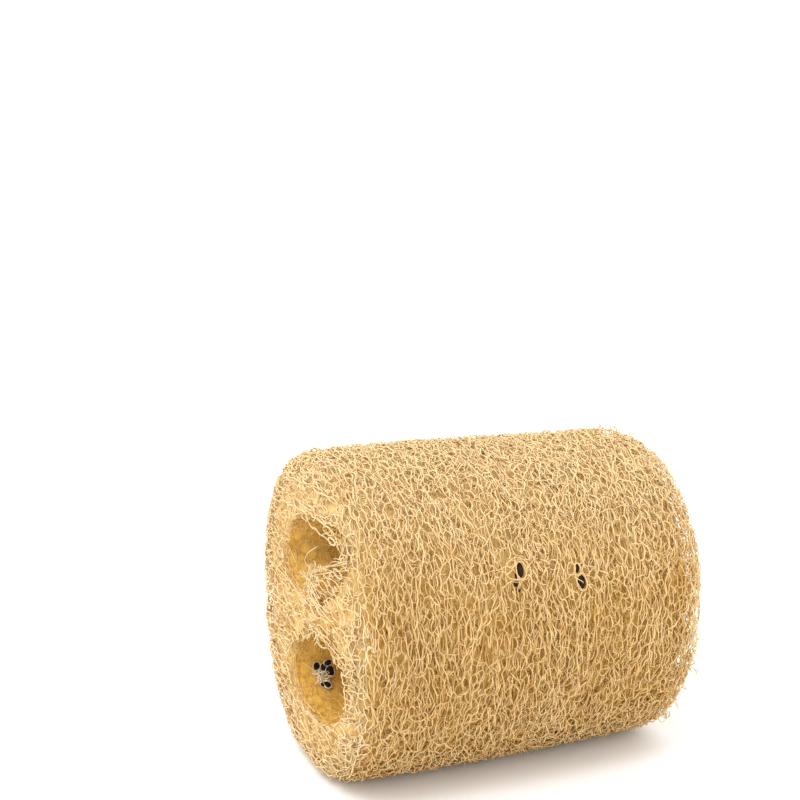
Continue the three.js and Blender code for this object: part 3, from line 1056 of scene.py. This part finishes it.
rng = np.random.default_rng(51)
points, threads = face_net(720, 0.75 * MM, 0.8 * MM, rng)
fibre_piece("near_face_net_behind", *fibres_of(points, threads, 0.8 * MM, 0.18 * MM, rng), pale_fibre)
points, threads = face_net(840, -0.35 * MM, 0.7 * MM, rng)
face_lines, face_radii = fibres_of(points, threads, 0.8 * MM, 0.17 * MM, rng)
for y, z, wide, tall in ROUND_MESHES:
    for again in range(2):
        middle = np.array([FACE, y * MM, z * MM]) + (rng.uniform(-0.2, 0.6) * MM, 0, 0)
        grown = 1.0 + 0.1 * again + 0.05 * rng.normal()
        face_lines.append(ring(middle, (0, 1, 0), (0, 0, 1), wide * grown, tall * grown, rng, 16))
        face_radii.append(0.13 * MM)
for _ in range(FACE_CURLS):
    place = np.array([0.0, rng.uniform(-36, 34), rng.uniform(6, 80)]) * MM + (FACE - 0.2 * MM, 0, 0)
    if inside_mouths(place[None])[0][0] > -0.5 * MM or face_share(place[1:2], place[2:3])[0] > 0.85:
        continue
    line = curl(place, rng.normal(size=3) * (0.15, 1.5, 0.7), rng.uniform(3, 8) * MM, 0.4, rng)
    line[:, 0] = np.clip(line[:, 0], FACE - 0.9 * MM, FACE + 0.8 * MM)
    face_lines.append(line)
    face_radii.append(thinning(line, 0.15 * MM))
fibre_piece("near_face_net", face_lines, face_radii, rim_fibre)

# The torn wall's ragged spur: fibres that stand up between the mouths, and the web from them to the
# near side of the upper mouth.
SPUR_TIPS = [
    (0.2, -9.2, 58.0), (0.0, -7.2, 57.0), (0.3, -0.8, 53.4), (-0.2, -2.6, 54.8), (0.6, -11.5, 58.4),
]
torn, torn_radii = [], []


def tear(line, radius, thins=True):
    torn.append(line)
    torn_radii.append(thinning(line, radius) if thins else radius)


for n in range(26):
    tip = np.array(SPUR_TIPS[n % len(SPUR_TIPS)]) + rng.normal(size=3) * (0.4, 0.5, 0.35)
    foot = np.array([rng.uniform(-0.3, 1.4), rng.uniform(-17, -6), rng.uniform(47, 50)])
    waist = np.array([rng.uniform(-0.4, 1.0), -9.0 + rng.normal() * 1.3, 53.4 + rng.normal() * 0.8])
    curled = tip + np.array([rng.normal() * 0.3, rng.normal() * 0.9, 0.5])
    tear(face_line([foot, (foot + waist) / 2 + rng.normal(size=3) * 0.5, waist, tip, curled]), 0.2 * MM)
WEB_LINES = [
    [(0.2, -10.8, 57.2), (0.4, -14.5, 58.6), (0.4, -19.8, 61.2), (0.5, -25, 63.2), (1.2, -31.5, 65.2)],
    [(0.2, -10.8, 56.0), (0.7, -16, 57.8), (0.5, -22, 60.6), (0.9, -27, 62.2), (1.4, -32, 64.2)],
    [(0.4, -11.5, 54.6), (0.8, -16, 57.0), (1.0, -21, 58.4), (1.0, -26, 60.4), (1.8, -33, 62.0)],
]
for number in range(7):
    way = np.array(WEB_LINES[number % 3])
    tear(face_line(way + rng.normal(size=way.shape) * (0.2, 0.5, 0.25)), 0.17 * MM, thins=False)
LONG_CURL = [(0.2, -8.7, 57.3), (0.1, -5.2, 57.3), (0.0, -4.2, 58.4), (0.2, -6.5, 60.9), (0.8, -11.6, 63.9)]
tear(face_line(LONG_CURL, 0.5 * MM), 0.15 * MM)
EDGING = [
    (0.2, -4.7, 70.1), (0.1, -9.7, 68.6), (0.0, -13, 68.9),
    (0.0, -16.3, 68.5), (0.0, -19.5, 68.7), (0.2, -23.1, 68.4),
]
for _ in range(2):
    tear(face_line(np.array(EDGING) + rng.normal(size=(6, 3)) * (0.1, 0.3, 0.1)), 0.16 * MM, thins=False)
for _ in range(3):
    loop = ring((FACE, -24.9 * MM, 69.1 * MM), (0, 1, 0), (0, 0, 1), 2.3, 0.85, rng)
    tear(loop, 0.15 * MM, thins=False)
for n in range(44):
    y = rng.uniform(-35, 6)
    edge = WALL_LOWER_EDGE if n % 3 else WALL_UPPER_EDGE
    z = np.interp(y, *np.array(edge).T)
    down = -1 if n % 3 else 1
    way = np.array([rng.normal() * 0.5, rng.normal() * 0.9, down])
    start = np.array([rng.uniform(-0.1, 1.2), y, z - down * 0.4]) * MM + (FACE, 0, 0)
    tear(curl(start, way, rng.uniform(1.2, 3.4) * MM, 0.6, rng), 0.17 * MM)
HANGING = [(-10.5, 40.6), (-12, 40.8), (-13.2, 41.2), (-11.6, 41.5), (-24, 40.5), (-26, 40.2)]
for y, z in HANGING:
    start = np.array([rng.uniform(0, 0.8), y, z]) * MM + (FACE, 0, 0)
    tear(curl(start, (0.1, rng.normal() * 0.5, -1), rng.uniform(2.2, 3.4) * MM, 0.35, rng), 0.22 * MM)
fibre_piece("torn_wall", torn, torn_radii, rim_fibre)

# The frayed edges of the two mouths: short curled fibre ends all round them, at both ends of the
# sponge.
FRAYED_ENDS = 48
frayed = []
for chamber in CHAMBERS:
    for side in (-1, 1):
        for _ in range(FRAYED_ENDS):
            angle = rng.random() * 2 * math.pi
            x = side * (half_length - rng.uniform(0.2, 2.5) * MM)
            start = chamber_spot(chamber, angle, x, 1.03)
            inward = unit(chamber_spot(chamber, angle, x, 0.9) - start)
            way = inward + rng.normal(size=3) * (0.6, 0.5, 0.5)
            frayed.append(curl(start, way, rng.uniform(1.2, 4) * MM, 0.9, rng))
fibre_piece("frayed_mouths", frayed, [thinning(line, 0.13 * MM) for line in frayed], rim_fibre)

# What the seeds left: dark scraps of seed coat, caught behind rings of pale fibre. Two eyelets in the
# side hold some, and a cluster sits on the far wall of the lower chamber.
seed_coat, coat_tree, coat_shader = matt_finish("dark seed coat", 0.75, 0.15)
grain = {"Scale": 1400, "Vector": object_place(coat_tree)}
grain = wire(coat_tree.nodes.new("ShaderNodeTexNoise"), grain).outputs["Fac"]
coat_colour = ramp_colour(coat_tree, grain, (0.35, (0.006, 0.003, 0.002)), (0.75, (0.045, 0.018, 0.008)))
wire(coat_shader, {"Base Color": coat_colour})


def seed_scrap(middle, across, up, out, wide, tall, thick):
    """One flat scrap of seed coat, as mesh points and faces."""
    rows, sides = 7, 14
    points = [middle - out * thick * MM]
    for r in range(1, rows):
        lift = math.pi * r / rows
        for s in range(sides):
            turn = 2 * math.pi * s / sides
            size = math.sin(lift) * (1 + 0.08 * math.sin(3 * turn + wide * 9))
            flat = across * wide * math.cos(turn) + up * tall * math.sin(turn)
            points.append(middle + (flat * size - out * thick * math.cos(lift)) * MM)
    points.append(middle + out * thick * MM)
    faces = []
    for s in range(sides):
        t = (s + 1) % sides
        faces.append((0, 1 + t, 1 + s))
        for r in range(rows - 2):
            a, b = 1 + r * sides, 1 + (r + 1) * sides
            faces.append((a + s, a + t, b + t, b + s))
        last = 1 + (rows - 2) * sides
        faces.append((len(points) - 1, last + s, last + t))
    return points, faces


coat_points, coat_faces = [], []


def add_scrap(*sizes):
    points, faces = seed_scrap(*sizes)
    coat_faces.extend(tuple(len(coat_points) + i for i in face) for face in faces)
    coat_points.extend(points)


X_AXIS = np.array([1.0, 0, 0])
held = []
EYELET_SCRAPS = [
    [(1.0, -0.4, 0.95, 2.1), (-0.1, 2.2, 0.45, 1.0), (-0.3, -1.6, 0.3, 1.0), (-0.5, -3.7, 0.8, 0.7),
     (-0.1, -5.1, 0.5, 0.7)],
    [(0.5, -1.1, 1.25, 1.8), (-0.2, 2.5, 0.65, 1.2)],
]
EYELET_RINGS = [
    [(0.1, 0.0, 3.2, 3.1), (1.1, -0.3, 1.3, 2.5), (-1.2, 1.6, 1.2, 1.0)],
    [(0.5, -1.1, 1.5, 2.1), (-0.3, 2.3, 1.0, 1.5), (-2.2, 2.6, 1.2, 1.5), (1.9, 1.6, 0.9, 1.3)],
]
EYELET_SPOKES = [
    [((-2.9, 1.0), (-1.2, 0.1), (0.1, -1.9)), ((-2.8, -1.2), (-1.1, 0.2), (0.0, 1.9)),
     ((-0.2, 3.1), (-0.2, 0), (-0.1, -2.9))],
    [((-2.2, 1.0), (-0.5, 0.9), (2.0, 0.9)), ((-1.1, 1.2), (-0.9, -0.8), (0.3, -3.2))],
]
for eyelet, scraps, rings, spokes in zip(EYELETS, EYELET_SCRAPS, EYELET_RINGS, EYELET_SPOKES):
    spot, out, up = eyelet["spot"], eyelet["out"], eyelet["up"]
    for across, along, wide, tall in scraps:
        place = spot + X_AXIS * across * MM + up * along * MM - out * 0.7 * MM
        add_scrap(place, X_AXIS, up, out, wide, tall, 0.35)
    for across, along, wide, tall in rings:
        for again in range(2):
            shift = rng.normal(size=2) * 0.12
            place = spot + X_AXIS * (across + shift[0]) * MM + up * (along + shift[1]) * MM
            held.append(ring(place - out * (0.1 + 0.25 * again) * MM, X_AXIS, up, wide, tall, rng, 20))
    for spoke in spokes:
        path = [spot + X_AXIS * a * MM + up * b * MM - out * 0.15 * MM for a, b in spoke]
        held.append(smooth_line(np.array(path), 0.6 * MM))
    for turn in np.arange(0, 6.28, 0.7):
        reach = np.array([eyelet["wide"] * math.cos(turn), eyelet["tall"] * math.sin(turn)])
        swirl = np.array([-math.sin(turn), math.cos(turn)]) * rng.choice([-1, 1])
        path = []
        for grown, swing in ((1.0, 0), (1.2, 0.9), (1.55, 1.6), (2.0, 1.8)):
            bend = reach * grown + swirl * swing + rng.normal(size=2) * 0.15
            path.append(spot + (X_AXIS * bend[0] + up * bend[1]) * MM - out * 0.2 * MM)
        held.append(smooth_line(np.array(path), 0.7 * MM))
fibre_piece("fibres_at_eyelets", held, [thinning(line, 0.17 * MM) for line in held], pale_fibre)

held = []
CLUSTER = [
    (-43.5, -14, 0.95, 1.15), (-41.7, -17, 0.85, 1.2), (-40.4, -11, 1.1, 0.85), (-40.1, -23, 1.25, 1.4),
    (-43.2, -25, 0.5, 0.5), (-42.9, -40, 0.7, 0.95), (-41.8, -41, 0.95, 1.15),
]
lower_chamber = CHAMBERS[1]
for x, degrees, wide, tall in CLUSTER:
    angle = np.radians(degrees)
    place = chamber_spot(lower_chamber, angle, x * MM, 0.96)
    up = unit(chamber_spot(lower_chamber, angle + 0.05, x * MM, 0.96) - place)
    out = np.cross(X_AXIS, up)
    out *= -np.sign(out[1])
    add_scrap(place, X_AXIS, up, out, wide, tall, 0.45)
    held.append(ring(place + out * 0.15 * MM, X_AXIS, up, wide * 1.08, tall * 1.06, rng, 12))
for _ in range(40):
    angle, x = np.radians(rng.uniform(-37, -23)), rng.uniform(-44.2, -41.9) * MM
    place = chamber_spot(lower_chamber, angle, x, 0.9)
    held.append(curl(place, rng.normal(size=3) * (1, 0.2, 1), rng.uniform(1, 2.6) * MM, 0.6, rng))
# Painted light: the web over the seed cluster is painted near white, paler than the other fibres, against the
# shade inside the chamber.
web_fibre = fibre_finish("white web", (0.93, 0.85, 0.70), (0.88, 0.78, 0.60), (0.84, 0.70, 0.48), 0.7)
fibre_piece("fibres_at_seed_cluster", held, [thinning(line, 0.16 * MM) for line in held], web_fibre)

coat = closed_mesh("seed_coat_scraps", coat_points, coat_faces)
bpy.ops.object.shade_smooth()
coat.data.materials.append(seed_coat)
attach(coat, "root")
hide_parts("sponge")

# Loose fibre ends: broken fibres stand a little off the nets all round, and some curl past the rim of
# the far end.
rng = np.random.default_rng(61)
LOOPS = 600
FREE_ENDS = 180
RIM_CURLS = 300
STRAY_LIMIT = 0.0019
STRAY_CLEAR_OF_TABLE = 0.0002


def arch(root, out, along, reach, lift, sunk, rise, fall, shake):
    """A loose loop that leaves the nets, stands off them and goes back in."""
    path = [
        root - out * sunk * MM,
        root + along * reach * rise + out * lift,
        root + along * reach * fall + out * lift,
        root + along * reach - out * sunk * MM,
    ]
    return smooth_line(np.array(path) + rng.normal(size=(4, 3)) * shake * MM, 0.6 * MM)


spread = unit_rows(rng.normal(size=(LOOPS + FREE_ENDS, 3)))
roots, outward = gourd.place(spread, 0.1 * MM)
strays = []
for number, (root, out) in enumerate(zip(roots, outward)):
    on_mouth = abs(root[0]) > half_length - 6 * MM and inside_mouths(root[None])[0][0] > -2 * MM
    if root[2] < 5 * MM or on_mouth:
        continue
    along = unit(np.cross(out, rng.normal(size=3)))
    if number < LOOPS:
        reach, lift = rng.uniform(1.8, 4.6) * MM, rng.uniform(0.2, 0.9) * MM
        strays.append(arch(root, out, along, reach, lift, sunk=0.5, rise=0.25, fall=0.7, shake=0.22))
    else:
        strays.append(curl(root, out * rng.uniform(0.2, 0.8) + along, rng.uniform(1, 2.2) * MM, 0.7, rng))
for _ in range(RIM_CURLS):
    angle = np.array([rng.random() * 2 * math.pi])
    x = np.array([half_length - rng.uniform(2, 14) * MM])
    root = gourd_point(angle, x, 0.99)[0]
    out = unit(root - np.array([x[0] - 4 * MM, middle_y, middle_z]))
    along = unit(np.cross(out, rng.normal(size=3)))
    if root[2] > 7 * MM:
        reach, lift = rng.uniform(1.5, 3.6) * MM, rng.uniform(0.5, 1.25) * MM
        strays.append(arch(root, out, along, reach, lift, sunk=0.8, rise=0.2, fall=0.8, shake=0.3))
low_edge, high_edge = np.array(cad_low) - STRAY_LIMIT, np.array(cad_high) + STRAY_LIMIT
low_edge[2] = STRAY_CLEAR_OF_TABLE
strays = [line for line in strays if (line > low_edge).all() and (line < high_edge).all()]
fibre_piece("loose_fibre_ends", strays, [thinning(line, 0.15 * MM) for line in strays], pale_fibre)

bpy.data.objects.remove(round_fibre)
